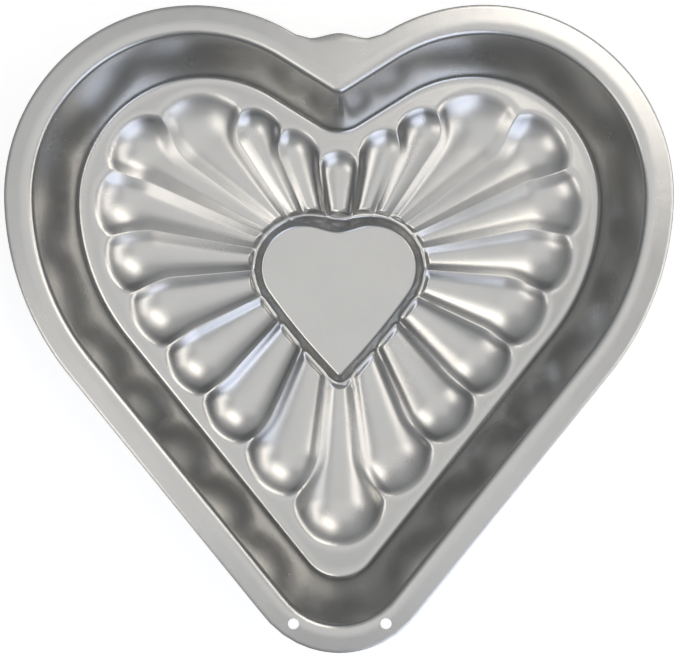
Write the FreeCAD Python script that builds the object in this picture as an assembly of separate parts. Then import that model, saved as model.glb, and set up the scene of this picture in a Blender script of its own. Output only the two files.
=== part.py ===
import FreeCAD, Part
import math
import os
from collections import namedtuple
from FreeCAD import Vector

# Heart cake pan, drawn from one flat sheet, in millimetres.
# Z up out of the mouth, +Y towards the notch between the lobes, +X to the right looking down
# into the pan. The origin is under the middle of the rim, on the table.

# Heights
SHEET = 1.0              # thickness of the sheet
RELIEF_DEPTH = 8.5       # ledge down to the floor of the centre heart, both inside faces
WALL_DEPTH = 42.0        # rim down to the ledge, both inside faces
RING_HEIGHT = 3.0        # floor of the centre heart up to the ring of petal ends around it

# Side wall and rim
WALL_RUN = 11.8          # how far the wall leans in between rim and ledge
MOUTH_BEND = 3.5         # radius of the upper face where the wall turns out into the rim
LEDGE_BEND = 4.0         # inside radius where the wall meets the ledge
BEND_STRIPS = 2          # strips that make up each of these two bends
RIM_WIDTH = 12.6         # flat rim, measured from the sharp corner of the mouth
TAB_WIDTH = 25.6         # raised tab of the rim in the notch between the lobes
TAB_RISE = 2.2           # height of the tab above its two corners
TAB_DROP = 1.8           # the corners lie this far below the ends of the lobes' round outer edge
HOLE_RADIUS = 2.5        # hanging holes in the rim
HOLE_SPACING = 42.0
HOLE_Y = -132.3

# Mouth and centre heart, each a chain of tangent arcs and lines from the tip to the notch
Heart = namedtuple("Heart", "tip_y tip_radius side_angle side_length "
                            "shoulder_radius shoulder_turn lobe_radius flank notch_radius")
MOUTH = Heart(tip_y=-133.2, tip_radius=31.0, side_angle=51.5, side_length=141.1,
              shoulder_radius=116.4, shoulder_turn=37.1,
              lobe_radius=72.9, flank=27.0, notch_radius=6.0)
CENTRE = Heart(tip_y=-23.0, tip_radius=1.5, side_angle=47.2, side_length=8.0,
               shoulder_radius=330.0, shoulder_turn=7.6,
               lobe_radius=21.0, flank=6.2, notch_radius=20.2)
CENTRE_RUN = 3.0         # how far the wall of the centre heart leans out up to the ring

# Petals, each a hollow between a ball at its outer end and a smaller one at its inner end.
# x, y and reach place the outer ball: reach is its radius where it breaks the ledge, and depth
# is how far its bottom lies below the ledge. The left half mirrors the right one.
Petal = namedtuple("Petal", "x y reach depth end_x end_y end_radius")
PETALS = (Petal(0.0, 74.0, 12.0, 5.0, 0.0, 50.0, 8.0),
          Petal(23.5, 82.5, 14.0, 6.0, 10.0, 50.0, 7.0),
          Petal(42.0, 91.5, 15.0, 6.5, 18.0, 50.0, 7.0),
          Petal(66.1, 87.9, 26.2, 7.0, 24.0, 48.0, 8.0),
          Petal(89.3, 82.1, 21.9, 7.0, 28.0, 45.5, 7.5),
          Petal(94.7, 60.7, 23.2, 7.0, 32.0, 41.0, 8.5),
          Petal(91.1, 37.1, 22.2, 7.0, 33.0, 34.0, 10.0),
          Petal(78.7, 13.1, 22.6, 7.0, 31.0, 24.3, 12.0),
          Petal(62.8, -11.5, 21.2, 7.0, 26.0, 16.5, 12.5),
          Petal(45.0, -34.8, 20.9, 7.0, 18.0, 6.3, 14.0),
          Petal(22.8, -59.1, 22.5, 7.0, 9.0, -4.0, 14.0),
          Petal(0.0, -84.3, 21.8, 7.0, 0.0, -12.0, 13.0))
PETAL_END_RISE = 1.8     # bottom of the inner balls above the floor of the centre heart

FLOOR_Z = SHEET
LEDGE_Z = FLOOR_Z + RELIEF_DEPTH
RIM_Z = LEDGE_Z + WALL_DEPTH
OVERCUT = 2.0            # hollows overlap by this much where one opens into the next
TRIM_SIDE = 400.0        # block, wider than the pan, that cuts the petals off above the ledge
TRIM_HEIGHT = 100.0


def heading(angle):
    """Unit vector at an angle in degrees from +X."""
    return Vector(math.cos(math.radians(angle)), math.sin(math.radians(angle)), 0)


def lobe_turn(heart):
    """Turn of the lobe that lets flank and notch end on the middle line."""
    angle = heart.side_angle + heart.shoulder_turn
    side = math.radians(heart.side_angle)
    x = heart.tip_radius * math.sin(side) + heart.side_length * math.cos(side)
    x += heart.shoulder_radius * (math.sin(math.radians(angle)) - math.sin(side))
    x -= heart.lobe_radius * math.sin(math.radians(angle))
    reach = heart.lobe_radius + heart.notch_radius
    lead = math.degrees(math.atan2(heart.flank, reach))
    return 180.0 - math.degrees(math.asin(-x / math.hypot(reach, heart.flank))) - lead - angle


def half_chain(heart, offset, z):
    """Edges of the right half, tip to notch, moved outwards by offset."""
    last_turn = lobe_turn(heart)
    lean = heart.side_angle + heart.shoulder_turn + last_turn - 180.0
    steps = ((heart.tip_radius, heart.side_angle, 0), (0, 0, heart.side_length),
             (heart.shoulder_radius, heart.shoulder_turn, 0), (heart.lobe_radius, last_turn, 0),
             (0, 0, heart.flank), (-heart.notch_radius, -lean, 0))
    edges = []
    angle = 0.0
    at = Vector(0, heart.tip_y, z)
    for radius, turn, run in steps:
        outwards = heading(angle - 90) * offset
        if run:
            end = at + heading(angle) * run
            edges.append(Part.LineSegment(at + outwards, end + outwards))
            at = end
            continue
        centre = at + heading(angle + 90) * radius
        spokes = [heading(angle - 90 + turn * share) * (radius + offset) for share in (0, 0.5, 1)]
        edges.append(Part.Arc(*[centre + spoke for spoke in spokes]))
        angle += turn
        at = centre + heading(angle - 90) * radius
    return [edge.toShape() for edge in edges]


def heart_wire(heart, offset, z):
    """Closed outline of a heart at height z."""
    right = half_chain(heart, offset, z)
    left = [edge.mirror(Vector(0, 0, 0), Vector(1, 0, 0)) for edge in reversed(right)]
    return Part.Wire(Part.__sortEdges__(right + left))


def stacked_body(heart, sections):
    """Solid through outlines one above the other, each given as (offset, z)."""
    return Part.makeLoft([heart_wire(heart, offset, z) for offset, z in sections], True, True)


def wall_offset(z):
    """Offset of the side wall's inside face at height z."""
    return (z - RIM_Z) * WALL_RUN / WALL_DEPTH


def bend(centre_z, outside, radius, first, last):
    """Sections along a bend that touches the side wall, from angle first to angle last."""
    draft = math.atan(WALL_RUN / WALL_DEPTH)
    centre = wall_offset(centre_z) + outside / math.cos(draft)
    sections = []
    for step in range(BEND_STRIPS + 1):
        spoke = heading(first + (last - first) * step / BEND_STRIPS) * radius
        sections.append((centre + spoke.x, centre_z + spoke.y))
    return sections


def basin(grown):
    """Heart-shaped room inside the side wall, from the ledge up, with its outside grown evenly."""
    draft = math.degrees(math.atan(WALL_RUN / WALL_DEPTH))
    low = bend(LEDGE_Z + LEDGE_BEND, -LEDGE_BEND, LEDGE_BEND + grown, -90, -draft)
    high = bend(RIM_Z - MOUTH_BEND, MOUTH_BEND, MOUTH_BEND - grown, 180 - draft, 90)
    top = RIM_Z + OVERCUT if grown == 0 else RIM_Z - SHEET / 2
    return stacked_body(MOUTH, low + high + [(high[-1][0], top)])


def centre_pocket(grown):
    """Pocket of the centre heart, widening upwards to above the ledge."""
    slope = CENTRE_RUN / RING_HEIGHT
    low = FLOOR_Z - grown
    high = LEDGE_Z + OVERCUT - grown
    sections = [((z - FLOOR_Z) * slope + grown * math.hypot(1, slope), z) for z in (low, high)]
    return stacked_body(CENTRE, sections)


def petal_hollow(petal, grown):
    """Tapered hollow with ball ends, grown evenly, turned about its own axis."""
    outer = (petal.reach ** 2 + petal.depth ** 2) / (2 * petal.depth)
    inner = petal.end_radius
    start = Vector(petal.x, petal.y, LEDGE_Z - petal.depth + outer)
    end = Vector(petal.end_x, petal.end_y, FLOOR_Z + PETAL_END_RISE + inner)
    axis = (end - start).normalize()
    up = (Vector(0, 0, 1) - axis * axis.z).normalize()
    taper = (outer - inner) / start.distanceToPoint(end)
    side = axis * taper + up * math.sqrt(1 - taper * taper)
    back = (side - axis).normalize()
    outer += grown
    inner += grown
    ball = Part.Arc(start - axis * outer, start + back * outer, start + side * outer).toShape()
    flank = Part.makeLine(start + side * outer, end + side * inner)
    foot = end + axis * (taper * inner)
    close = Part.makeLine(end + side * inner, foot)
    spine = Part.makeLine(foot, start - axis * outer)
    body = Part.Face(Part.Wire([ball, flank, close, spine])).revolve(start, axis, 360)
    corner = Vector(-TRIM_SIDE / 2, -TRIM_SIDE / 2, LEDGE_Z + OVERCUT - grown - TRIM_HEIGHT)
    return body.common(Part.makeBox(TRIM_SIDE, TRIM_SIDE, TRIM_HEIGHT, corner))


def petal_hollows(grown):
    """All petals: the two on the middle line, and ten on either side of it."""
    right = [petal_hollow(petal, grown) for petal in PETALS]
    left = [petal_hollow(petal._replace(x=-petal.x, end_x=-petal.end_x), grown)
            for petal in PETALS if petal.x]
    return right + left


def skin(grown):
    """Everything that one face of the sheet encloses: side wall, petals and centre heart."""
    return basin(grown).fuse(petal_hollows(grown) + [centre_pocket(grown)])


def rim_plate():
    """Flat rim with its tab and hanging holes, filled across the mouth."""
    edges = half_chain(MOUTH, RIM_WIDTH, RIM_Z - SHEET)
    outline = edges[:-2]
    start = outline[-1].Vertexes[-1].Point
    corner = Vector(TAB_WIDTH / 2, start.y - TAB_DROP, RIM_Z - SHEET)
    top = corner + Vector(-TAB_WIDTH / 2, TAB_RISE, 0)
    quarter = (corner + top) / 2
    flat = Vector(TAB_WIDTH / 8, 0, 0)
    tab = Part.BezierCurve()
    tab.setPoles([corner, corner - flat, quarter, top + flat, top])
    right = outline + [Part.makeLine(start, corner), tab.toShape()]
    left = [edge.mirror(Vector(0, 0, 0), Vector(1, 0, 0)) for edge in right]
    plate = Part.Face(Part.Wire(Part.__sortEdges__(right + left))).extrude(Vector(0, 0, SHEET))
    for side in (-1, 1):
        at = Vector(side * HOLE_SPACING / 2, HOLE_Y, RIM_Z - SHEET - OVERCUT)
        plate = plate.cut(Part.makeCylinder(HOLE_RADIUS, SHEET + 2 * OVERCUT, at))
    return plate


def pan():
    """The whole pan: rim and outer skin less the room inside."""
    return rim_plate().fuse(skin(SHEET)).cut(skin(0)).removeSplitter()


os.makedirs("parts", exist_ok=True)
shape = pan()
shape.exportStep("parts/pan.step")
print("solids", len(shape.Solids), "valid", shape.isValid(), "volume", round(shape.Volume), shape.BoundBox)
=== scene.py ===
"""Looks of the heart cake pan: one sheet of drawn aluminium, seen from above on a pale table.

All sizes are in millimetres and in the same frame as the CAD part: Z up out of the mouth, +Y
towards the notch between the lobes, origin on the table under the middle of the rim. Meshes are
turned into metres when they are made.

The sheet is laid as a closed row of loops around the centre, whose spokes follow the ridges
between the petals. One node tree presses the relief into its bottom, a second one punches the
hanging holes.
"""
import logging
import math
from dataclasses import dataclass, field, fields
from enum import Enum
from typing import Any, ClassVar, Sequence

import bpy
import numpy as np
from mathutils import Matrix, Vector


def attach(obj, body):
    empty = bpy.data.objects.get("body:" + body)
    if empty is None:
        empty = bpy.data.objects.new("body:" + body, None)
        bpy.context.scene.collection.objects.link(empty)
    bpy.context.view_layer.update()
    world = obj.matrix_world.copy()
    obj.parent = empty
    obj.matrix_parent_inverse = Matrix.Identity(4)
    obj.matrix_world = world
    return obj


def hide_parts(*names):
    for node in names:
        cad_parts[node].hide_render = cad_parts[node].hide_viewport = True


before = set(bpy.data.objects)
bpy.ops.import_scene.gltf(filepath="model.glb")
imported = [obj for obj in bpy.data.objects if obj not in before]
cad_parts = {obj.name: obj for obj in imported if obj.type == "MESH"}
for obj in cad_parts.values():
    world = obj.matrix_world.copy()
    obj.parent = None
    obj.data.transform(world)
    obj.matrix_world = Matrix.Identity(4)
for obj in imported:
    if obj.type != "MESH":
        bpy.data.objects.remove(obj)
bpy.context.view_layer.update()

LOG = logging.getLogger("heart_cake_pan")
MM = 0.001
NO_PETAL = 120.0        # height, above the whole pan, where a petal isn't over a place
FAR_UP = 1200.0         # lift that takes any height past NO_PETAL
TOUCHING = 1e-6         # square of a distance that counts as none
WELL_INSIDE = -10.0     # distance to the centre heart's outline in the middle of its floor


class Face(Enum):
    """The two faces of the sheet, and how much of its thickness each is moved outwards."""

    INSIDE = 0.0
    OUTSIDE = 1.0


class Bend(Enum):
    """The two bends of the side wall."""

    LEDGE = "ledge"
    MOUTH = "mouth"


class Mark(Enum):
    """Marks on the points of the blank, which the press reads."""

    DISTANCE = "distance"
    OUTSIDE = "outside"
    PRESSED = "pressed"


def linear(code: str) -> tuple[float, float, float, float]:
    """Turn an sRGB hex colour into linear values.

    Args:
        code: colour such as "#C8C8C4".

    Returns:
        Red, green, blue and an alpha of 1, linear.
    """
    values = [int(code[i:i + 2], 16) / 255 for i in (1, 3, 5)]
    tones = [v / 12.92 if v <= 0.04045 else ((v + 0.055) / 1.055) ** 2.4 for v in values]
    return (tones[0], tones[1], tones[2], 1.0)


def new_object(name: str, data: bpy.types.ID) -> bpy.types.Object:
    """Make an object of a mesh, light or camera and put it in the scene."""
    made = bpy.data.objects.new(name, data)
    bpy.context.scene.collection.objects.link(made)
    return made


def add_node(tree: bpy.types.NodeTree, kind: str, settings: dict[str, Any] | None = None,
             inputs: dict[Any, Any] | None = None) -> bpy.types.Node:
    """Add a node with its settings, values and links.

    Args:
        tree: tree that the node goes into.
        kind: type of the node.
        settings: attributes of the node.
        inputs: value or output socket for each input, by name or number.

    Returns:
        The new node.
    """
    made = tree.nodes.new(kind)
    for name, value in (settings or {}).items():
        setattr(made, name, value)
    for name, value in (inputs or {}).items():
        if isinstance(value, bpy.types.NodeSocket):
            tree.links.new(value, made.inputs[name])
        else:
            made.inputs[name].default_value = value
    return made


MATHS: dict[np.ufunc, str] = {
    np.add: "ADD", np.subtract: "SUBTRACT", np.multiply: "MULTIPLY", np.true_divide: "DIVIDE",
    np.sqrt: "SQRT", np.exp: "EXPONENT", np.absolute: "ABSOLUTE", np.minimum: "MINIMUM",
    np.maximum: "MAXIMUM", np.less: "LESS_THAN", np.greater: "GREATER_THAN"}


class NodeNumber(np.lib.mixins.NDArrayOperatorsMixin):
    """Number in a node tree: each sum, product or root of it adds a Math node.

    A rule written with numpy's functions thus works on arrays and in a tree alike.
    """

    def __init__(self, tree: bpy.types.NodeTree, socket: bpy.types.NodeSocket) -> None:
        """Keep the tree and the output socket that holds the number."""
        self.tree = tree
        self.socket = socket

    def __array_ufunc__(self, rule: np.ufunc, method: str, *inputs: Any,
                        **options: Any) -> "NodeNumber":
        """Add the Math node of one of numpy's functions.

        Args:
            rule: numpy's function.
            method: way that numpy calls it.
            inputs: numbers of the tree, or plain ones.
            options: further settings, of which there are none here.

        Returns:
            The result.
        """
        values = [each.socket if isinstance(each, NodeNumber) else float(each)
                  for each in inputs]
        made = add_node(self.tree, "ShaderNodeMath", {"operation": MATHS[rule]},
                        dict(enumerate(values)))
        return NodeNumber(self.tree, made.outputs[0])


Number = np.ndarray | float | NodeNumber


def soft_min(a: Number, b: Number, blend: Number) -> Number:
    """Lower of two heights, with the crease between them rounded over a height of blend."""
    near = np.maximum(blend - np.absolute(a - b), 0.0)
    return np.minimum(a, b) - near * near / (4.0 * blend)


def soft_max(a: Number, b: Number, blend: Number) -> Number:
    """Higher of two heights, with the corner between them rounded over a height of blend."""
    near = np.maximum(blend - np.absolute(a - b), 0.0)
    return np.maximum(a, b) + near * near / (4.0 * blend)


@dataclass(frozen=True)
class HeartOutline:
    """Heart drawn as a chain of tangent arcs and lines, from the tip to the notch.

    The left half mirrors the right one. Lengths are in millimetres, turns in degrees.
    """

    SAMPLES: ClassVar[int] = 400            # samples on each arc or line
    STEPS_TO_FLANK: ClassVar[int] = 4       # arcs and lines before the flank
    DISTANCE_SAMPLES: ClassVar[int] = 801   # samples on the half when distances are taken

    tip_y: float
    tip_radius: float
    side_angle: float
    side_length: float
    shoulder_radius: float
    shoulder_turn: float
    lobe_radius: float
    flank: float
    notch_radius: float

    def lobe_turn(self) -> float:
        """Turn of the lobe, in degrees, that lets flank and notch end on the middle line."""
        angle = self.side_angle + self.shoulder_turn
        side, end = math.radians(self.side_angle), math.radians(angle)
        x = self.tip_radius * math.sin(side) + self.side_length * math.cos(side)
        x += self.shoulder_radius * (math.sin(end) - math.sin(side))
        x -= self.lobe_radius * math.sin(end)
        reach = self.lobe_radius + self.notch_radius
        lead = math.degrees(math.atan2(self.flank, reach))
        across = math.degrees(math.asin(-x / math.hypot(reach, self.flank)))
        return 180.0 - across - lead - angle

    def steps(self) -> list[tuple[float, float]]:
        """Radius and turn of each arc, or 0 and length of each line, from tip to notch."""
        turn = self.lobe_turn()
        lean = self.side_angle + self.shoulder_turn + turn - 180.0
        return [(self.tip_radius, self.side_angle), (0.0, self.side_length),
                (self.shoulder_radius, self.shoulder_turn), (self.lobe_radius, turn),
                (0.0, self.flank), (-self.notch_radius, -lean)]

    def trace(self) -> tuple[np.ndarray, np.ndarray, np.ndarray]:
        """Walk the right half from tip to notch.

        Returns:
            Points, outward normals and the share of the way walked at each point.
        """
        points, normals, ways = [], [], []
        at, angle, way = np.array([0.0, self.tip_y]), 0.0, 0.0
        for radius, size in self.steps():
            share = np.linspace(0.0, 1.0, self.SAMPLES)
            turn = np.radians(angle + (size * share if radius else 0.0 * share))
            ahead = np.stack([np.cos(turn), np.sin(turn)], axis=1)
            out = np.stack([np.sin(turn), -np.cos(turn)], axis=1)
            if radius:
                here = at - out[0] * radius + out * radius
                length = abs(radius * math.radians(size))
                angle += size
            else:
                here = at + ahead * (share * size)[:, None]
                length = size
            points.append(here)
            normals.append(out)
            ways.append(way + share * length)
            at, way = here[-1], way + length
        keep = np.ones(self.SAMPLES * len(points), bool)
        keep[self.SAMPLES::self.SAMPLES] = False
        return (np.vstack(points)[keep], np.vstack(normals)[keep],
                np.concatenate(ways)[keep] / way)

    def lobe_end(self) -> float:
        """Share of the way at which the lobe's arc ends and the flank begins."""
        _, _, ways = self.trace()
        return float(ways[self.STEPS_TO_FLANK * (self.SAMPLES - 1)])

    def loop(self, share: np.ndarray, offset: float) -> np.ndarray:
        """Points of the right half at shares of its way, moved outwards.

        Args:
            share: places along the half, 0 at the tip and 1 at the notch.
            offset: distance outwards.

        Returns:
            One row of x and y for each share.
        """
        points, normals, ways = self.trace()
        at = np.stack([np.interp(share, ways, points[:, i]) for i in (0, 1)], axis=-1)
        out = np.stack([np.interp(share, ways, normals[:, i]) for i in (0, 1)], axis=-1)
        out /= np.linalg.norm(out, axis=-1, keepdims=True)
        return at + out * offset

    def distance(self, plan: np.ndarray) -> np.ndarray:
        """Distance to the outline, for places of the right half that lie outside it.

        Args:
            plan: one row of x and y for each place.

        Returns:
            Distance of each place.
        """
        outline = self.loop(np.linspace(0.0, 1.0, self.DISTANCE_SAMPLES), 0.0)
        gap = plan[:, None, :] - outline[None]
        return np.sqrt((gap ** 2).sum(axis=2).min(axis=1))


@dataclass(frozen=True)
class Cone:
    """Row of balls along an axis, each a little smaller than the one before.

    The numbers are plain ones, or numbers of a node tree.
    """

    start_x: Number
    start_y: Number
    start_z: Number
    axis_x: Number
    axis_y: Number
    axis_z: Number
    radius: Number
    taper: Number
    length: Number

    def height(self, x: Number, y: Number, grown: Number) -> Number:
        """Height of the lowest skin over places of the plan.

        The skin is touched along each upright line by one ball, whose centre lies where the
        line's lower meeting with the endless cone is square to the cone. It is held between the
        two end balls.

        Args:
            x: places across.
            y: places along.
            grown: how much all the balls are grown.

        Returns:
            The height, or NO_PETAL beside the cone.
        """
        taper, radius = self.taper, self.radius + grown
        right, up = x - self.start_x, y - self.start_y
        along = right * self.axis_x + up * self.axis_y
        wide = right * right + up * up
        level = 1.0 - taper * taper
        a = level - self.axis_z * self.axis_z
        half_b = self.axis_z * (radius * taper - along)
        c = along * (2.0 * radius * taper - along) + wide * level - radius * radius
        drop = (half_b + np.sqrt(np.maximum(half_b * half_b - a * c, 0.0))) / a
        centre = (along - self.axis_z * drop - taper * radius) / level
        centre = np.minimum(np.maximum(centre, 0.0), self.length)
        ball = radius - taper * centre
        off_x, off_y = right - centre * self.axis_x, up - centre * self.axis_y
        under = ball * ball - off_x * off_x - off_y * off_y
        low = self.start_z + centre * self.axis_z - np.sqrt(np.maximum(under, 0.0))
        return np.minimum(low + FAR_UP * np.less(under, TOUCHING), NO_PETAL)


@dataclass(frozen=True)
class Petal:
    """Tapered hollow between a ball at its outer end and a smaller one at its inner end.

    reach is the outer ball's radius where it breaks the ledge, and depth is how far its bottom
    lies below the ledge.
    """

    x: float
    y: float
    reach: float
    depth: float
    end_x: float
    end_y: float
    end_radius: float

    def mirrored(self) -> "Petal":
        """The same petal on the left half."""
        return Petal(-self.x, self.y, self.reach, self.depth,
                     -self.end_x, self.end_y, self.end_radius)

    def cone(self, ledge: float, end_bottom: float) -> Cone:
        """The petal as a row of balls.

        Args:
            ledge: height of the ledge that the outer ball breaks through.
            end_bottom: height of the inner ball's bottom.

        Returns:
            The cone from the outer ball to the inner one.
        """
        outer = (self.reach ** 2 + self.depth ** 2) / (2.0 * self.depth)
        start = np.array([self.x, self.y, ledge - self.depth + outer])
        end = np.array([self.end_x, self.end_y, end_bottom + self.end_radius])
        length = float(np.linalg.norm(end - start))
        axis = (end - start) / length
        return Cone(*start, *axis, outer, (outer - self.end_radius) / length, length)


@dataclass(frozen=True)
class DrawnAluminium:
    """Drawn aluminium sheet, satin.

    The sheet comes from the press with a fine matt grain, so its highlights are broad and soft.
    Its colour is a light neutral grey with faint duller patches, and drawing leaves shallow
    marks up the walls, along which reflections waver a little.
    """

    colour: str = "#DEDDDA"
    colour_dull: str = "#D0CFCC"
    roughness: float = 0.255
    roughness_spread: float = 0.025
    # Real grain is nearer 0.1 mm. It is drawn as coarse as it needs to show.
    grain_mm: float = 0.7
    grain_strength: float = 0.02
    grain_detail: float = 2.0
    patch_mm: float = 26.0
    patch_detail: float = 4.0
    patch_roughness: float = 0.6
    patch_range: tuple[float, float] = (0.3, 0.7)
    # Draw marks: their width, their length up the wall and their depth.
    mark_mm: float = 7.0
    mark_long: float = 40.0
    mark_depth: float = 0.03
    mark_detail: float = 1.0

    def material(self) -> bpy.types.Material:
        """Build the material.

        Returns:
            The material, with its colour, roughness and grain from noise on Object coordinates.
        """
        made = bpy.data.materials.new("drawn aluminium sheet, satin")
        made.use_nodes = True
        tree = made.node_tree
        tree.nodes.clear()
        place = add_node(tree, "ShaderNodeTexCoord").outputs["Object"]
        patches = add_node(tree, "ShaderNodeTexNoise", None,
                           {"Vector": place, "Scale": 1.0 / (self.patch_mm * MM),
                            "Detail": self.patch_detail, "Roughness": self.patch_roughness})
        grain = add_node(tree, "ShaderNodeTexNoise", None,
                         {"Vector": place, "Scale": 1.0 / (self.grain_mm * MM),
                          "Detail": self.grain_detail})
        # Inputs 6 and 7 and output 2 of a mix are its colours.
        colour = add_node(tree, "ShaderNodeMix", {"data_type": "RGBA"},
                          {"Factor": patches.outputs["Fac"], 6: linear(self.colour_dull),
                           7: linear(self.colour)})
        rough = add_node(tree, "ShaderNodeMapRange", None,
                         {"Value": patches.outputs["Fac"], "From Min": self.patch_range[0],
                          "From Max": self.patch_range[1],
                          "To Min": self.roughness - self.roughness_spread,
                          "To Max": self.roughness + self.roughness_spread})
        stretch = add_node(tree, "ShaderNodeMapping", None,
                           {"Vector": place, "Scale": (1.0, 1.0, self.mark_mm / self.mark_long)})
        marks = add_node(tree, "ShaderNodeTexNoise", None,
                         {"Vector": stretch.outputs["Vector"],
                          "Scale": 1.0 / (self.mark_mm * MM), "Detail": self.mark_detail})
        wave = add_node(tree, "ShaderNodeBump", None,
                        {"Height": marks.outputs["Fac"], "Distance": self.mark_depth * MM})
        bump = add_node(tree, "ShaderNodeBump", None,
                        {"Height": grain.outputs["Fac"], "Strength": self.grain_strength,
                         "Distance": self.grain_mm * MM, "Normal": wave.outputs["Normal"]})
        shader = add_node(tree, "ShaderNodeBsdfPrincipled", None,
                          {"Base Color": colour.outputs[2], "Metallic": 1.0,
                           "Roughness": rough.outputs["Result"],
                           "Normal": bump.outputs["Normal"]})
        add_node(tree, "ShaderNodeOutputMaterial", None, {"Surface": shader.outputs["BSDF"]})
        return made


@dataclass(frozen=True)
class Relief:
    """Relief in the bottom of the pan: petals, the ring around the centre heart and its pocket.

    Each number becomes a named input of the tree that presses it.
    """

    sheet: Number = 1.0
    floor_height: Number = 1.0
    ledge_height: Number = 9.5
    # The ring's crest above the floor, and how far the pocket's wall leans out up to it
    ring_height: Number = 3.0
    pocket_run: Number = 3.0
    middle_place: Number = 18.0
    # Ridges between petals: lift of their tops, how near to a tie it starts, and roundings,
    # each as a height over which two surfaces blend
    crest_rise: Number = 0.85
    crest_width: Number = 4.5
    crest_round_inside: Number = 2.6
    crest_round_outside: Number = 0.9
    lip_round_inside: Number = 1.6
    lip_round_outside: Number = 1.4
    corner_round_inside: Number = 1.1
    corner_round_outside: Number = 0.3
    brow_round: Number = 1.4
    # The ring: its place outside the centre heart, its radius and how much of the sheet's
    # thickness that loses on the outside
    ring_place: Number = 3.9
    ring_round: Number = 2.0
    ring_thinning: Number = 0.7
    ring_foot: Number = 1.2
    # How much the ring rises towards the notch, and over what width
    notch_rise: Number = 2.2
    notch_half: Number = 18.0

    @staticmethod
    def sorted_in(low: Sequence[Number], this: Number) -> list[Number]:
        """Sort one more height into the three lowest.

        Args:
            low: the three lowest so far, the lowest first.
            this: the new height.

        Returns:
            The three lowest of the four.
        """
        higher = np.maximum(low[0], this)
        return [np.minimum(low[0], this), np.minimum(low[1], higher),
                np.minimum(low[2], np.maximum(low[1], higher))]

    @staticmethod
    def by_face(inside: Number, other: Number, outside: Number) -> Number:
        """The first value where outside is 0, the other one where it is 1."""
        return inside + (other - inside) * outside

    def petals(self, low: Sequence[Number], outside: Number) -> Number:
        """Height of the petal field, with its ridges and lips rounded.

        Args:
            low: the three lowest petals over each place.
            outside: 0 on the inside face of the sheet, 1 on the outside.

        Returns:
            Height over each place.
        """
        near = np.maximum(1.0 - (low[1] - low[0]) / self.crest_width, 0.0)
        lift = self.crest_rise * near * near
        crest_round = self.by_face(self.crest_round_inside, self.crest_round_outside, outside)
        height = soft_min(low[0] + lift, low[1] + lift, crest_round)
        height = soft_min(height, low[2] + lift, crest_round)
        return soft_min(height, self.ledge_height - self.sheet * outside,
                        self.by_face(self.lip_round_inside, self.lip_round_outside, outside))

    def height(self, x: Number, y: Number, distance: Number, low: Sequence[Number],
               outside: Number) -> Number:
        """Height of the whole relief.

        Args:
            x: places across.
            y: places along.
            distance: distance outside the centre heart's outline.
            low: the three lowest petals over each place.
            outside: 0 on the inside face of the sheet, 1 on the outside.

        Returns:
            Height over each place.
        """
        grown = self.sheet * outside
        across = x / self.notch_half
        upper = np.greater(y, self.middle_place)
        taller = self.notch_rise * np.exp(across * across * -1.0) * upper
        beside = distance - self.ring_place - taller
        ring = (self.floor_height + self.ring_height + taller - grown
                - beside * beside / (2.0 * (self.ring_round - self.ring_thinning * grown)))
        slope = self.ring_height / self.pocket_run
        wall = (self.floor_height + distance * slope
                - grown * np.sqrt(1.0 + slope * slope))
        joined = soft_max(self.petals(low, outside), ring, self.ring_foot)
        return soft_max(soft_min(joined, wall, self.brow_round), self.floor_height - grown,
                        self.by_face(self.corner_round_inside, self.corner_round_outside,
                                     outside))


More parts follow.
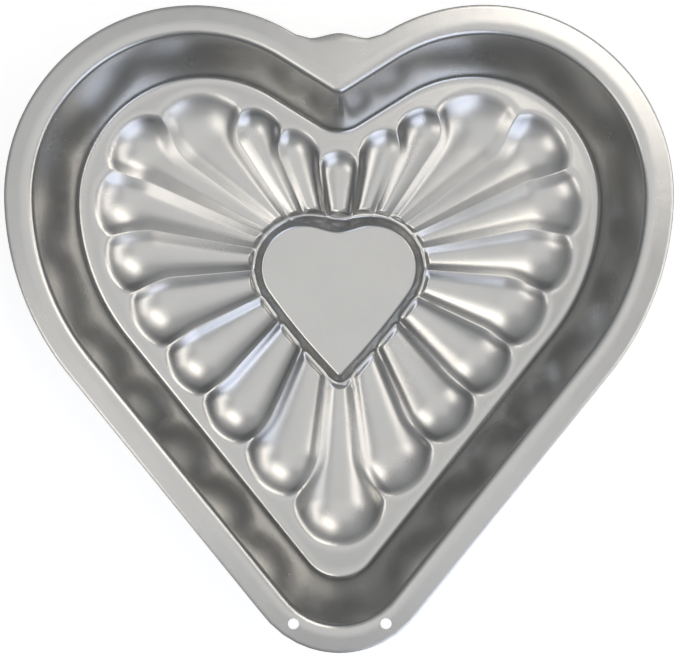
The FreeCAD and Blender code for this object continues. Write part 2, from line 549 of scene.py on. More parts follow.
@dataclass
class PetalLayout:
    """Where the spokes of the mesh run through the petal field, along the petals' ridges.

    A place in the field is a share of the way out, from a loop outside the centre heart (0) to
    the ledge's bend (1), and a lane, the share of the way along the half from tip to notch.
    """

    centre: HeartOutline
    mouth: HeartOutline
    cones: Sequence[Cone]       # right half first, from the notch to the tip
    ledge_height: float
    ledge_edge: float           # offset of the mouth's outline where the ledge's bend begins
    half_spokes: int
    ring_out: float = 9.0       # offset of the field's inner loop from the centre heart
    way_samples: int = 121
    lane_samples: int = 1601
    ridge_start: float = 0.6    # share of the way out where the ridges are picked up
    ridge_step: float = 0.012   # most that a ridge's lane changes from one share to the next
    # Spokes for each petal, by weight, from tip to notch, and how much they crowd at its ridges
    weights: tuple[float, ...] = (0.5, 1.0, 1.0, 1.0, 1.0, 1.0, 1.0, 1.0, 1.1, 0.7, 0.6, 0.35)
    crowding: float = 0.55
    lip_limits: tuple[float, float] = (0.2, 0.985)
    # Powers that crowd the loops on either side of the lips
    inward_power: float = 1.5
    outward_power: float = 1.6
    shares: np.ndarray = field(init=False)
    lanes: np.ndarray = field(init=False)
    lips: np.ndarray = field(init=False)

    def __post_init__(self) -> None:
        """Lay the spokes and find where they cross the petals' lips."""
        self.shares = np.linspace(0.0, 1.0, self.way_samples)
        ridges = self.ridges()
        petal, part = self.spread()
        self.lanes = ridges[:, petal] + (ridges[:, petal + 1] - ridges[:, petal]) * part
        self.lips = self.crossings()

    def heights(self, x: np.ndarray, y: np.ndarray) -> np.ndarray:
        """Heights of all petals' inside skins over places of the plan, one layer for each."""
        return np.array([cone.height(x, y, 0.0) for cone in self.cones])

    def points(self, share: np.ndarray, lane: np.ndarray) -> np.ndarray:
        """Plan points at shares of the way out and lanes."""
        inner = self.centre.loop(lane, self.ring_out)
        outer = self.mouth.loop(lane, self.ledge_edge)
        return inner + (outer - inner) * share[..., None]

    def ridges(self) -> np.ndarray:
        """Find where the ridges between the petals run.

        Each ridge is picked up where it is plain, and followed from there both ways.

        Returns:
            For each share of the way out, the ridges' lanes from tip to notch, with 0 and 1 at
            their ends.
        """
        dense = np.linspace(0.0, 1.0, self.lane_samples)
        inner = self.centre.loop(dense, self.ring_out)
        outer = self.mouth.loop(dense, self.ledge_edge)
        count = len(self.weights) - 1
        places = np.zeros((len(self.shares), count + 2))
        places[:, -1] = 1.0
        middle = int(np.argmin(np.abs(self.shares - self.ridge_start)))
        order = list(range(middle, len(self.shares))) + list(range(middle - 1, -1, -1))
        for row in order:
            at = inner + (outer - inner) * self.shares[row]
            heights = self.heights(at[:, 0], at[:, 1])
            beside = row - 1 if row > middle else row + 1
            for k in range(count, 0, -1):
                column = count + 1 - k
                gap = heights[k] - heights[k - 1]
                turn = np.flatnonzero((gap[:-1] < 0) & (gap[1:] >= 0))
                here = dense[turn] + dense[1] * gap[turn] / (gap[turn] - gap[turn + 1])
                if row == middle:
                    level = np.minimum(heights[k], heights[k - 1])[turn]
                    places[row, column] = here[int(np.argmin(level))]
                    continue
                guess = places[beside, column]
                near = here[np.abs(here - guess) < self.ridge_step]
                places[row, column] = near[0] if len(near) else guess
            places[row, :-1] = np.maximum.accumulate(places[row, :-1])
        return places

    def spread(self) -> tuple[np.ndarray, np.ndarray]:
        """Share the spokes out among the petals, closer together at the ridges.

        Returns:
            For each spoke of the half, the petal it lies in and its share of that petal's width.
        """
        weights = np.array(self.weights)
        edges = np.round(np.concatenate([[0.0], np.cumsum(weights)]) / weights.sum()
                         * self.half_spokes).astype(int)
        spokes = np.arange(self.half_spokes + 1)
        petal = np.clip(np.searchsorted(edges, spokes, side="right") - 1, 0, len(weights) - 1)
        share = (spokes - edges[petal]) / (edges[petal + 1] - edges[petal])
        share = share - self.crowding * np.sin(2.0 * math.pi * share) / (2.0 * math.pi)
        return petal, share

    def crossings(self) -> np.ndarray:
        """Share of the way out at which each spoke crosses the lip of its petal."""
        at = self.points(self.shares[:, None] + 0.0 * self.lanes, self.lanes)
        low = self.heights(at[..., 0], at[..., 1]).min(axis=0) - self.ledge_height
        last = len(self.shares) - 2
        lips = np.ones(self.lanes.shape[1])
        for spoke in range(len(lips)):
            under = np.flatnonzero(low[:, spoke] < 0)
            k = min(under[-1], last) if len(under) else last
            rise = low[k + 1, spoke] - low[k, spoke]
            lips[spoke] = self.shares[k] + self.shares[1] * (-low[k, spoke] / rise)
        return np.clip(lips, *self.lip_limits)

    def lane_at(self, share: np.ndarray) -> np.ndarray:
        """Lane of each spoke at its own share of the way out."""
        last = len(self.shares) - 1
        spokes = np.arange(self.lanes.shape[1])
        place = np.clip(share, 0.0, 1.0) * last
        low = np.minimum(place.astype(int), last - 1)
        mix = place - low
        return self.lanes[low, spokes] * (1.0 - mix) + self.lanes[low + 1, spokes] * mix

    def rows(self, to_lips: int, to_ledge: int) -> list[np.ndarray]:
        """Plan points of the field's loops, from the centre heart out to the ledge's bend.

        Args:
            to_lips: steps from the centre heart to the petals' lips.
            to_ledge: steps from the lips to the bend.

        Returns:
            One array of points for each loop.
        """
        mean = float(self.lips.mean())
        inward = 1.0 - np.linspace(1.0, 0.0, to_lips + 1) ** self.inward_power
        outward = np.linspace(0.0, 1.0, to_ledge + 1)[1:] ** self.outward_power
        shares = [w * (mean + (self.lips - mean) * w) for w in inward]
        shares += [self.lips + (1.0 - self.lips) * w for w in outward]
        return [self.points(share, self.lane_at(share)) for share in shares]


@dataclass
class Blank:
    """The sheet before the press: a closed row of loops, with marks on its points."""

    loops: list[np.ndarray] = field(default_factory=list)
    marks: list[np.ndarray] = field(default_factory=list)

    def add(self, plan: np.ndarray, height: float, distance: np.ndarray | None = None,
            face: Face = Face.INSIDE) -> None:
        """Add one closed loop from its right half.

        Args:
            plan: x and y of the right half, tip to notch.
            height: height of its points before the press.
            distance: distance outside the centre heart's outline. The press moves only loops
                that have it.
            face: side of the sheet.
        """
        half = np.column_stack([plan, np.full(len(plan), height)])
        half[[0, -1], 0] = 0.0
        left = half[-2:0:-1] * np.array([-1.0, 1.0, 1.0])
        self.loops.append(np.vstack([half, left]))
        pressed = distance is not None
        right = distance if pressed else np.zeros(len(plan))
        around = np.concatenate([right, right[-2:0:-1]])
        same = np.ones(len(around))
        self.marks.append(np.column_stack([around, same * face.value, same * pressed]))

    def mesh(self, top: Sequence[float], bottom: Sequence[float]) -> bpy.types.Mesh:
        """Join the loops into one closed mesh.

        Args:
            top: point that closes the first loop.
            bottom: point that closes the last loop.

        Returns:
            The mesh in metres, its faces pointing outwards.
        """
        ring = len(self.loops[0])
        points = np.vstack(self.loops + [top, bottom]) * MM
        spoke = np.arange(ring)
        after = (spoke + 1) % ring
        faces: list[tuple[int, ...]] = []
        for row in range(len(self.loops) - 1):
            a, b = row * ring, (row + 1) * ring
            quads = np.column_stack([a + spoke, b + spoke, b + after, a + after])
            faces.extend(map(tuple, quads.tolist()))
        first, second = len(points) - 2, len(points) - 1
        last = (len(self.loops) - 1) * ring
        faces.extend((first, int(i), int(j)) for i, j in zip(spoke, after))
        faces.extend((second, last + int(j), last + int(i)) for i, j in zip(spoke, after))
        made = bpy.data.meshes.new("sheet")
        made.from_pydata(points.tolist(), [], faces)
        marks = np.vstack(self.marks + [np.zeros((2, len(Mark)))]).astype(np.float32)
        for column, mark in enumerate(Mark):
            layer = made.attributes.new(mark.value, "FLOAT", "POINT")
            layer.data.foreach_set("value", marks[:, column])
        made.update()
        return made


class SheetTree:
    """Geometry Nodes tree that works on the sheet, with a named input for each size."""

    KINDS: ClassVar[dict[type, str]] = {
        int: "NodeSocketInt", float: "NodeSocketFloat", tuple: "NodeSocketVector",
        bpy.types.Object: "NodeSocketObject"}

    def __init__(self, name: str, sizes: dict[str, Any]) -> None:
        """Start the tree.

        Args:
            name: name of the tree.
            sizes: value of each named input.
        """
        self.sizes = sizes
        self.tree = bpy.data.node_groups.new(name, "GeometryNodeTree")
        sockets = self.tree.interface
        sockets.new_socket("Geometry", in_out="INPUT", socket_type="NodeSocketGeometry")
        for label, value in sizes.items():
            sockets.new_socket(label, in_out="INPUT", socket_type=self.KINDS[type(value)])
        sockets.new_socket("Geometry", in_out="OUTPUT", socket_type="NodeSocketGeometry")
        self.given = add_node(self.tree, "NodeGroupInput").outputs

    def close(self, shape: bpy.types.NodeSocket, material: bpy.types.Material) -> None:
        """End the tree with real geometry in its finish.

        Args:
            shape: geometry that the tree gives.
            material: finish of the sheet.
        """
        real = add_node(self.tree, "GeometryNodeRealizeInstances", None, {"Geometry": shape})
        dressed = add_node(self.tree, "GeometryNodeSetMaterial", None,
                           {"Geometry": real.outputs["Geometry"], "Material": material})
        add_node(self.tree, "NodeGroupOutput", None, {"Geometry": dressed.outputs["Geometry"]})

    def work_on(self, made: bpy.types.Object) -> None:
        """Run the tree on an object and keep the result as its plain mesh.

        Args:
            made: object that the tree changes.
        """
        modifier = made.modifiers.new(self.tree.name, "NODES")
        modifier.node_group = self.tree
        for item in self.tree.interface.items_tree:
            if item.in_out == "INPUT" and item.name in self.sizes:
                modifier[item.identifier] = self.sizes[item.name]
        whole = bpy.context.evaluated_depsgraph_get()
        plain = bpy.data.meshes.new_from_object(made.evaluated_get(whole))
        made.modifiers.remove(modifier)
        made.data = plain


@dataclass
class Pan:
    """The pan: rim, side wall, ledge, petals and centre heart, all one sheet."""

    BEND_FINENESS: ClassVar[int] = 40       # steps of the sum along a bend for each row
    LEDGE_EDGE_ROWS: ClassVar[int] = 24     # rows of the bend that gives the ledge's edge
    TAB_SAMPLES: ClassVar[int] = 60
    TAB_LINE_SAMPLES: ClassVar[int] = 40

    # Side wall, and its bends as radius at the flat and radius at the wall, with the power by
    # which they tighten
    wall_depth: float = 42.0
    wall_run: float = 11.8
    mouth_bend: tuple[float, float] = (13.0, 2.2)
    ledge_bend: tuple[float, float] = (9.0, 0.9)
    bend_power: int = 3
    # Rim, measured from the sharp corner of the mouth, its tab and its hanging holes
    rim_width: float = 12.57
    tab_width: float = 25.6
    tab_rise: float = 2.2
    tab_drop: float = 1.8
    edge_round: float = 0.35
    holes: int = 2
    hole_radius: float = 2.5
    hole_spacing: float = 42.0
    hole_y: float = -132.3
    hole_sides: int = 64
    cutter_depth: float = 6.0
    # Outlines, and the petals of the right half from the notch to the tip
    mouth: HeartOutline = HeartOutline(
        tip_y=-133.2, tip_radius=31.0, side_angle=51.5, side_length=141.1,
        shoulder_radius=116.4, shoulder_turn=37.1, lobe_radius=72.9, flank=27.0,
        notch_radius=6.0)
    centre: HeartOutline = HeartOutline(
        tip_y=-23.0, tip_radius=1.5, side_angle=47.2, side_length=8.0, shoulder_radius=330.0,
        shoulder_turn=7.6, lobe_radius=21.0, flank=6.2, notch_radius=20.2)
    petal_end_rise: float = 1.8
    petals: tuple[Petal, ...] = (
        Petal(0.0, 74.0, 12.0, 3.9, 0.0, 50.0, 5.0),
        Petal(23.5, 82.5, 14.0, 4.6, 10.0, 50.0, 4.0),
        Petal(42.0, 91.5, 15.0, 5.4, 18.0, 50.0, 4.0),
        Petal(66.1, 87.9, 26.2, 7.0, 24.0, 48.0, 4.0),
        Petal(89.3, 82.1, 21.9, 7.0, 28.0, 45.5, 4.0),
        Petal(94.7, 60.7, 23.2, 7.0, 32.0, 41.0, 4.5),
        Petal(91.1, 37.1, 22.2, 7.0, 33.0, 34.0, 5.5),
        Petal(78.7, 13.1, 22.6, 7.0, 31.0, 24.3, 7.0),
        Petal(62.8, -11.5, 21.2, 7.0, 26.0, 16.5, 7.5),
        Petal(45.0, -34.8, 20.9, 7.0, 18.0, 6.3, 8.5),
        Petal(22.8, -59.1, 22.5, 7.0, 9.0, -4.0, 8.5),
        Petal(0.0, -84.3, 21.8, 7.0, 0.0, -12.0, 8.0))
    relief: Relief = Relief()
    finish: DrawnAluminium = DrawnAluminium()
    # Loops of the mesh, where there are two groups for the inside and the outside face
    half_spokes: int = 300
    floor_shares: tuple[float, ...] = (0.35, 0.7)
    centre_steps: tuple[tuple[float, ...], ...] = (
        (-1.3, -0.9, -0.5, -0.1, 0.3, 0.7, 1.1, 1.5, 1.9, 2.3, 2.7, 3.1, 3.5, 3.9, 4.3, 4.7, 5.1,
         5.5, 5.9, 6.3, 6.8, 7.3, 7.8, 8.4),
        (-1.3, -0.4, 0.4, 0.9, 1.4, 1.9, 2.4, 3.0, 3.6, 4.2, 4.8, 5.6, 6.4, 7.2, 8.1))
    field_steps: tuple[tuple[int, int], ...] = ((44, 8), (16, 4))
    bend_rows: tuple[int, int] = (8, 6)
    wall_shares: tuple[tuple[float, ...], ...] = ((0.2, 0.4, 0.6, 0.8), (0.34, 0.67))
    rim_shares: tuple[tuple[float, ...], ...] = ((0.2, 0.5, 0.8), (0.66, 0.33))
    edge_angles: tuple[float, ...] = (90.0, 45.0, 0.0)
    sharp_angle: float = 40.0

    @property
    def rim_height(self) -> float:
        """Height of the rim's upper face."""
        return self.relief.ledge_height + self.wall_depth

    def cones(self) -> list[Cone]:
        """Cones of the right half's petals, then those of the left half."""
        bottom = self.relief.floor_height + self.petal_end_rise
        both = list(self.petals) + [petal.mirrored() for petal in self.petals if petal.x]
        return [petal.cone(self.relief.ledge_height, bottom) for petal in both]

    def wall_offset(self, z: float) -> float:
        """Offset of the side wall's inside face at a height."""
        return (z - self.rim_height) * self.wall_run / self.wall_depth

    def bend(self, which: Bend, face: Face, rows: int) -> list[tuple[float, float]]:
        """Offsets and heights along one of the two bends, from the middle of the pan outwards.

        Each bend is wide where it leaves the flat and tighter towards the side wall.

        Args:
            which: the bend.
            face: side of the sheet.
            rows: number of steps.

        Returns:
            Offset and height of each row.
        """
        flat, tight = self.ledge_bend if which is Bend.LEDGE else self.mouth_bend
        steep = math.atan2(self.wall_depth, self.wall_run)
        turn = np.linspace(0.0, steep, self.BEND_FINENESS * rows + 1)
        radius = tight + (flat - tight) * (1.0 - turn / steep) ** self.bend_power
        length = 0.5 * (radius[1:] + radius[:-1]) * (turn[1] - turn[0])
        middle = 0.5 * (turn[1:] + turn[:-1])
        run = np.concatenate([[0.0], np.cumsum(length * np.cos(middle))])
        rise = np.concatenate([[0.0], np.cumsum(length * np.sin(middle))])
        if which is Bend.LEDGE:
            z = self.relief.ledge_height + rise
            offset = self.wall_offset(z[-1]) + run - run[-1]
            keep = slice(None, None, self.BEND_FINENESS)
        else:
            z = self.rim_height - rise
            offset = self.wall_offset(z[-1]) + run[-1] - run
            keep = slice(None, None, -self.BEND_FINENESS)
        grown = self.relief.sheet * face.value
        offset, z = offset + grown * np.sin(turn), z - grown * np.cos(turn)
        return list(zip(offset[keep].tolist(), z[keep].tolist()))

    def edge_plan(self, lane: np.ndarray) -> np.ndarray:
        """Outer edge of the rim, with the raised tab in the notch.

        Args:
            lane: places of the spokes along the half.

        Returns:
            Plan points of the edge.
        """
        lobe_end = self.mouth.lobe_end()
        plan = self.mouth.loop(np.minimum(lane, lobe_end), self.rim_width)
        start = self.mouth.loop(np.array([lobe_end]), self.rim_width)[0]
        corner = np.array([self.tab_width / 2.0, start[1] - self.tab_drop])
        top = corner + np.array([-self.tab_width / 2.0, self.tab_rise])
        flat = np.array([self.tab_width / 8.0, 0.0])
        poles = [corner, corner - flat, (corner + top) / 2.0, top + flat, top]
        degree = len(poles) - 1
        t = np.linspace(0.0, 1.0, self.TAB_SAMPLES)[:, None]
        curve = sum(math.comb(degree, i) * t ** i * (1.0 - t) ** (degree - i) * pole
                    for i, pole in enumerate(poles))
        share = np.linspace(0.0, 1.0, self.TAB_LINE_SAMPLES)[:-1, None]
        path = np.vstack([start + (corner - start) * share, curve])
        run = np.concatenate([[0.0], np.cumsum(np.linalg.norm(np.diff(path, axis=0), axis=1))])
        past = lane > lobe_end
        way = (lane[past] - lobe_end) / (1.0 - lobe_end) * run[-1]
        plan[past] = np.stack([np.interp(way, run, path[:, i]) for i in (0, 1)], axis=1)
        return plan

    def relief_loops(self, layout: PetalLayout,
                     face: Face) -> list[tuple[np.ndarray, np.ndarray]]:
        """Loops that the press moves, from the centre heart's middle out to the ledge's bend.

        Args:
            layout: lay of the spokes.
            face: side of the sheet.

        Returns:
            Plan of each loop and its distance outside the centre heart's outline.
        """
        lane = layout.lanes[0]
        group = int(face.value)
        middle = np.array([0.0, self.relief.middle_place])
        first = self.centre.loop(lane, self.centre_steps[group][0])
        loops = [(middle + (first - middle) * share, np.full(len(lane), WELL_INSIDE))
                 for share in self.floor_shares]
        loops += [(self.centre.loop(lane, step), np.full(len(lane), step))
                  for step in self.centre_steps[group]]
        loops += [(plan, self.centre.distance(plan))
                  for plan in layout.rows(*self.field_steps[group])]
        return loops

    def wall_profile(self, face: Face) -> list[tuple[float, float]]:
        """Offsets and heights of the side wall's loops, from the ledge up to the rim.

        Args:
            face: side of the sheet.

        Returns:
            Offset and height of each loop.
        """
        group = int(face.value)
        low = self.bend(Bend.LEDGE, face, self.bend_rows[group])
        high = self.bend(Bend.MOUTH, face, self.bend_rows[group])
        start, end = np.array(low[-1]), np.array(high[0])
        between = [tuple(start + (end - start) * share) for share in self.wall_shares[group]]
        return low[1:] + between + high

    def add_rim(self, blank: Blank, lane: np.ndarray) -> None:
        """Add the rim's loops: out over its upper face, round its edge and back below.

        Args:
            blank: sheet that they are added to.
            lane: places of the spokes along the half.
        """
        start = self.mouth.loop(lane, self.wall_profile(Face.INSIDE)[-1][0])
        across = self.edge_plan(lane) - start
        width = np.linalg.norm(across, axis=1)
        top, under = self.rim_height, self.rim_height - self.relief.sheet
        upper_edge, lower_edge = [], []
        for angle in np.radians(self.edge_angles):
            share = 1.0 - self.edge_round * (1.0 - math.cos(angle)) / width
            drop = self.edge_round * (1.0 - math.sin(angle))
            plan = start + across * share[:, None]
            upper_edge.append((plan, top - drop))
            lower_edge.append((plan, under + drop))
        for share in self.rim_shares[0]:
            blank.add(start + across * share, top)
        for plan, height in upper_edge + lower_edge[::-1]:
            blank.add(plan, height)
        for share in self.rim_shares[1]:
            blank.add(start + across * share, under)

    def blank(self) -> bpy.types.Mesh:
        """Lay the sheet, from the middle of its inside face round the rim to the underside."""
        relief, blank = self.relief, Blank()
        ledge_edge = self.bend(Bend.LEDGE, Face.INSIDE, self.LEDGE_EDGE_ROWS)[0][0]
        layout = PetalLayout(self.centre, self.mouth, self.cones(), relief.ledge_height,
                             ledge_edge, self.half_spokes)
        lane = layout.lanes[-1]
        for plan, distance in self.relief_loops(layout, Face.INSIDE):
            blank.add(plan, relief.ledge_height, distance, Face.INSIDE)
        for offset, z in self.wall_profile(Face.INSIDE):
            blank.add(self.mouth.loop(lane, offset), z)
        self.add_rim(blank, lane)
        for offset, z in reversed(self.wall_profile(Face.OUTSIDE)):
            blank.add(self.mouth.loop(lane, offset), z)
        for plan, distance in reversed(self.relief_loops(layout, Face.OUTSIDE)):
            blank.add(plan, relief.ledge_height - relief.sheet, distance, Face.OUTSIDE)
        return blank.mesh((0.0, relief.middle_place, relief.floor_height),
                          (0.0, relief.middle_place, relief.floor_height - relief.sheet))

    def petal_table(self) -> bpy.types.Object:
        """Object with one point for each petal, which carries the numbers of its cone."""
        cones = self.cones()
        mesh = bpy.data.meshes.new("petal table")
        mesh.from_pydata([(cone.start_x * MM, cone.start_y * MM, cone.start_z * MM)
                          for cone in cones], [], [])
        for item in fields(Cone):
            layer = mesh.attributes.new(item.name, "FLOAT", "POINT")
            layer.data.foreach_set("value", [getattr(cone, item.name) for cone in cones])
        return bpy.data.objects.new("petal table", mesh)

    @staticmethod
    def lowest_petals(press: SheetTree, x: NodeNumber, y: NodeNumber,
                      grown: NodeNumber) -> list[NodeNumber]:
        """Go through the petals in a Repeat zone and keep the three lowest over each point.

        Args:
            press: tree that the zone goes into.
            x: places across.
            y: places along.
            grown: how much the petals are grown.

        Returns:
            Heights of the three lowest petals, the lowest first.
        """
        tree = press.tree
        table = add_node(tree, "GeometryNodeObjectInfo", None,
                         {"Object": press.given["Petals"]}).outputs["Geometry"]
        count = add_node(tree, "GeometryNodeAttributeDomainSize", {"component": "MESH"},
                         {"Geometry": table})
        begin = tree.nodes.new("GeometryNodeRepeatInput")
        end = tree.nodes.new("GeometryNodeRepeatOutput")
        begin.pair_with_output(end)
        end.repeat_items.clear()
        ranks = ("Lowest", "Second", "Third")
        for rank in ranks:
            end.repeat_items.new("FLOAT", rank)
            begin.inputs[rank].default_value = NO_PETAL
        tree.links.new(count.outputs["Point Count"], begin.inputs["Iterations"])
        numbers = {}
        for item in fields(Cone):
            kept = add_node(tree, "GeometryNodeInputNamedAttribute", {"data_type": "FLOAT"},
                            {"Name": item.name})
            picked = add_node(tree, "GeometryNodeSampleIndex", {"data_type": "FLOAT"},
                              {"Geometry": table, "Value": kept.outputs["Attribute"],
                               "Index": begin.outputs["Iteration"]})
            numbers[item.name] = NodeNumber(tree, picked.outputs["Value"])
        this = Cone(**numbers).height(x, y, grown)
        before = [NodeNumber(tree, begin.outputs[rank]) for rank in ranks]
        for rank, each in zip(ranks, Relief.sorted_in(before, this)):
            tree.links.new(each.socket, end.inputs[rank])
        return [NodeNumber(tree, end.outputs[rank]) for rank in ranks]

    def press(self, made: bpy.types.Object, material: bpy.types.Material) -> None:
        """Press petals, ring and centre heart into the blank by a node tree.

        The relief's rule, run on numbers of the tree, gives each marked point its height.

        Args:
            made: the blank.
            material: finish of the sheet.
        """
        labels = {item.name: item.name.replace("_", " ").capitalize() for item in fields(Relief)}
        sizes = {label: getattr(self.relief, name) for name, label in labels.items()}
        table = self.petal_table()
        press = SheetTree("press the relief", {**sizes, "Petals": table})
        tree = press.tree
        relief = Relief(**{name: NodeNumber(tree, press.given[label])
                           for name, label in labels.items()})
        marks = {}
        for mark in Mark:
            kept = add_node(tree, "GeometryNodeInputNamedAttribute", {"data_type": "FLOAT"},
                            {"Name": mark.value})
            marks[mark] = NodeNumber(tree, kept.outputs["Attribute"])
        outside = marks[Mark.OUTSIDE]
        place = add_node(tree, "GeometryNodeInputPosition").outputs["Position"]
        split = add_node(tree, "ShaderNodeSeparateXYZ", None, {"Vector": place}).outputs
        x, y = NodeNumber(tree, split["X"]) / MM, NodeNumber(tree, split["Y"]) / MM
        low = self.lowest_petals(press, x, y, relief.sheet * outside)
        height = relief.height(x, y, marks[Mark.DISTANCE], low, outside) * MM
        spot = add_node(tree, "ShaderNodeCombineXYZ", None,
                        {"X": split["X"], "Y": split["Y"], "Z": height.socket})
        shape = add_node(tree, "GeometryNodeSetPosition", None,
                         {"Geometry": press.given["Geometry"],
                          "Selection": marks[Mark.PRESSED].socket,
                          "Position": spot.outputs["Vector"]}).outputs["Geometry"]
        for mark in Mark:
            shape = add_node(tree, "GeometryNodeRemoveAttribute", None,
                             {"Geometry": shape, "Name": mark.value}).outputs["Geometry"]
        press.close(shape, material)
        press.work_on(made)
        bpy.data.objects.remove(table)

    def punch(self, made: bpy.types.Object, material: bpy.types.Material) -> None:
        """Punch the hanging holes: a row of round cutters taken from the sheet by a node tree.

        Args:
            made: pan without holes.
            material: finish of the sheet.
        """
        first_x = -self.hole_spacing * (self.holes - 1) / 2
        punch = SheetTree("punch the hanging holes", {
            "Holes": self.holes, "Hole radius": self.hole_radius * MM,
            "Hole spacing": self.hole_spacing * MM,
            "First hole": (first_x * MM, self.hole_y * MM, self.rim_height * MM),
            "Cutter sides": self.hole_sides, "Cutter depth": self.cutter_depth * MM})
        tree, given = punch.tree, punch.given
        step = add_node(tree, "ShaderNodeCombineXYZ", None, {"X": given["Hole spacing"]})
        row = add_node(tree, "GeometryNodeMeshLine", {"mode": "OFFSET"},
                       {"Count": given["Holes"], "Start Location": given["First hole"],
                        "Offset": step.outputs["Vector"]})
        cutter = add_node(tree, "GeometryNodeMeshCylinder", None,
                          {"Vertices": given["Cutter sides"], "Radius": given["Hole radius"],
                           "Depth": given["Cutter depth"]})
        cutters = add_node(tree, "GeometryNodeInstanceOnPoints", None,
                           {"Points": row.outputs["Mesh"], "Instance": cutter.outputs["Mesh"]})
        solid = add_node(tree, "GeometryNodeRealizeInstances", None,
                         {"Geometry": cutters.outputs["Instances"]})
        cut = add_node(tree, "GeometryNodeMeshBoolean",
                       {"operation": "DIFFERENCE", "solver": "EXACT"},
                       {0: given["Geometry"], 1: solid.outputs["Geometry"]})
        punch.close(cut.outputs["Mesh"], material)
        punch.work_on(made)

    def smooth(self, mesh: bpy.types.Mesh) -> None:
        """Shade the mesh smooth and keep its cut edges sharp."""
        mesh.shade_smooth()
        mesh.set_sharp_from_angle(angle=math.radians(self.sharp_angle))

    def build(self) -> None:
        """Build and dress the pan, riding on the part's body."""
        material = self.finish.material()
        made = new_object("pan_sheet", self.blank())
        made.data.materials.append(material)
        self.press(made, material)
        self.punch(made, material)
        self.smooth(made.data)
        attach(made, "root")
        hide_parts("pan")
        triangles = sum(len(face.vertices) - 2 for face in made.data.polygons)
        LOG.info("%s: %d triangles", made.name, triangles)


@dataclass(frozen=True)
class MattBoard:
    """White board with matt paint, for the table.

    The paint scatters light and has next to no gloss, so the table shows no highlights. It
    glows a little, so that it stays pale beside a metal that mirrors a dim room.
    """

    colour: str = "#F4F4F4"
    roughness: float = 0.9
    shine: float = 0.1
    glow: float = 0.66

    def material(self) -> bpy.types.Material:
        """Build the material."""
        made = bpy.data.materials.new("matt white board")
        made.use_nodes = True
        shader = made.node_tree.nodes["Principled BSDF"].inputs
        shader["Base Color"].default_value = linear(self.colour)
        shader["Roughness"].default_value = self.roughness
        shader["Specular IOR Level"].default_value = self.shine
        shader["Emission Color"].default_value = linear(self.colour)
        shader["Emission Strength"].default_value = self.glow
        return made


@dataclass(frozen=True)
class Lamp:
    """Soft light: a glowing rectangle, whose glow of 1 looks white."""

    name: str
    place: tuple[float, float, float]
    aim: tuple[float, float, float]
    size: tuple[float, float]
    colour: str
    glow: float

    def hang(self) -> None:
        """Hang the light."""
        data = bpy.data.lights.new(self.name, "AREA")
        data.shape = "RECTANGLE"
        data.size, data.size_y = self.size[0] * MM, self.size[1] * MM
        data.color = linear(self.colour)[:3]
        data.energy = self.glow * math.pi * data.size * data.size_y
        made = new_object(self.name, data)
        made.location = Vector(self.place) * MM
        way = Vector(self.aim) * MM - made.location
        made.rotation_euler = way.to_track_quat("-Z", "Y").to_euler()


@dataclass(frozen=True)
class Window:
    """Soft light on the dome around the pan, facing its middle.

    down is its angle from straight up and round_from_x its angle from +X, anticlockwise, both
    in degrees.
    """

    name: str
    down: float
    round_from_x: float
    size: tuple[float, float]
    colour: str
    glow: float

    def lamp(self, dome: float) -> Lamp:
        """The window as a lamp on a dome of the given radius."""
        lean, turn = math.radians(self.down), math.radians(self.round_from_x)
        place = (dome * math.sin(lean) * math.cos(turn), dome * math.sin(lean) * math.sin(turn),
                 dome * math.cos(lean))
        return Lamp(self.name, place, (0.0, 0.0, 0.0), self.size, self.colour, self.glow)


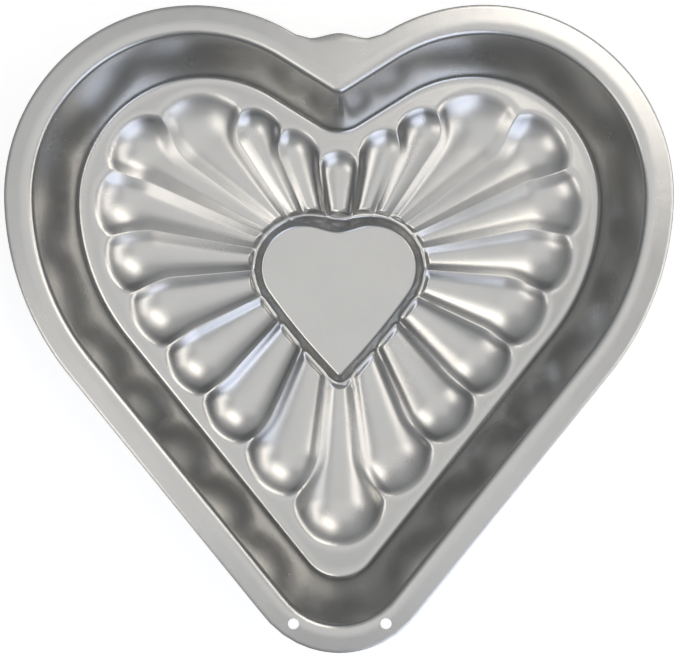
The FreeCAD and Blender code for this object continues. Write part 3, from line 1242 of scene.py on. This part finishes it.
@dataclass
class Studio:
    """Pale table, soft lights and the camera that looks down into the pan."""

    # Camera: place, turns about its three axes in radians, and lens
    camera_place: tuple[float, float, float] = (-0.273, 20.251, 574.186)
    lean: float = 0.0371003
    sway: float = 0.0007238
    roll: float = 0.0016382
    focal: float = 61.729
    sensor: float = 36.0
    # Table, just below the resting face, so that the two don't share one plane
    table_side: float = 9000.0
    table_drop: float = 0.05
    board: MattBoard = MattBoard()
    # Room: its tone at the floor and from dim_from upwards, a share of the way to straight up
    room_colour: str = "#E8ECF2"
    room_low: float = 0.30
    room_high: float = 0.12
    dim_from: float = 0.5
    backdrop_colour: str = "#F4F4F4"
    dome: float = 1350.0
    lamps: tuple[Lamp, ...] = (
        Lamp("ceiling", (0.0, 0.0, 1300.0), (0.0, 0.0, 0.0), (3000.0, 3000.0), "#F6F8FC", 0.20),
        Lamp("soft box", (60.0, 40.0, 1280.0), (60.0, 40.0, 0.0), (1800.0, 1800.0), "#FBFBFC",
             0.13),
        Lamp("overhead", (-80.0, -30.0, 1250.0), (-80.0, -30.0, 0.0), (860.0, 860.0), "#FFFEFC",
             0.38))
    windows: tuple[Window, ...] = (
        Window("warm window", 27.0, 52.0, (560.0, 300.0), "#FFF9F0", 2.3),
        Window("right window", 36.0, 4.0, (700.0, 170.0), "#FFF9F2", 2.2),
        Window("left window", 29.0, 207.0, (440.0, 220.0), "#FFF9F2", 1.9),
        Window("lower window", 31.0, -22.0, (200.0, 200.0), "#FFFDFA", 1.5),
        Window("cool strip", 35.0, -58.0, (520.0, 150.0), "#EAF0FF", 1.6),
        Window("cool window", 46.0, -58.0, (760.0, 420.0), "#DCE6FF", 1.3))

    def camera(self) -> None:
        """Set up the camera."""
        data = bpy.data.cameras.new("camera")
        data.sensor_width = self.sensor
        data.lens = self.focal
        made = new_object("camera", data)
        turn = (Matrix.Rotation(self.roll, 3, "Z") @ Matrix.Rotation(self.lean, 3, "X")
                @ Matrix.Rotation(self.sway, 3, "Y"))
        made.matrix_world = Matrix.LocRotScale(Vector(self.camera_place) * MM,
                                               turn.transposed(), None)
        bpy.context.scene.camera = made

    def table(self) -> None:
        """Lay the table under the pan."""
        side, z = self.table_side * MM / 2.0, -self.table_drop * MM
        mesh = bpy.data.meshes.new("table")
        mesh.from_pydata([(-side, -side, z), (side, -side, z), (side, side, z), (-side, side, z)],
                         [], [(0, 1, 2, 3)])
        made = new_object("table", mesh)
        mesh.materials.append(self.board.material())

    def lights(self) -> None:
        """Hang the lights."""
        for lamp in self.lamps + tuple(window.lamp(self.dome) for window in self.windows):
            lamp.hang()

    def room(self) -> None:
        """Give the room its tone: dim overhead, lighter towards the floor, pale to the eye."""
        world = bpy.data.worlds.new("room")
        world.use_nodes = True
        tree = world.node_tree
        tree.nodes.clear()
        way = add_node(tree, "ShaderNodeTexCoord").outputs["Generated"]
        split = add_node(tree, "ShaderNodeSeparateXYZ", None, {"Vector": way})
        tone = add_node(tree, "ShaderNodeMapRange", None,
                        {"Value": split.outputs["Z"], "From Min": 0.0, "From Max": self.dim_from,
                         "To Min": self.room_low, "To Max": self.room_high})
        dim = add_node(tree, "ShaderNodeBackground", None,
                       {"Color": linear(self.room_colour), "Strength": tone.outputs["Result"]})
        pale = add_node(tree, "ShaderNodeBackground", None,
                        {"Color": linear(self.backdrop_colour), "Strength": 1.0})
        seen = add_node(tree, "ShaderNodeLightPath").outputs["Is Camera Ray"]
        mix = add_node(tree, "ShaderNodeMixShader", None,
                       {0: seen, 1: dim.outputs["Background"], 2: pale.outputs["Background"]})
        add_node(tree, "ShaderNodeOutputWorld", None, {"Surface": mix.outputs["Shader"]})
        bpy.context.scene.world = world

    def build(self) -> None:
        """Set up camera, table, lights and room."""
        bpy.context.scene.view_settings.view_transform = "Standard"
        self.camera()
        self.table()
        self.lights()
        self.room()
        LOG.info("studio ready: %d lights", len(self.lamps) + len(self.windows))


def main() -> None:
    """Build the studio and the pan."""
    logging.basicConfig(level=logging.INFO)
    Studio().build()
    Pan().build()


if __name__ == "__main__":
    main()
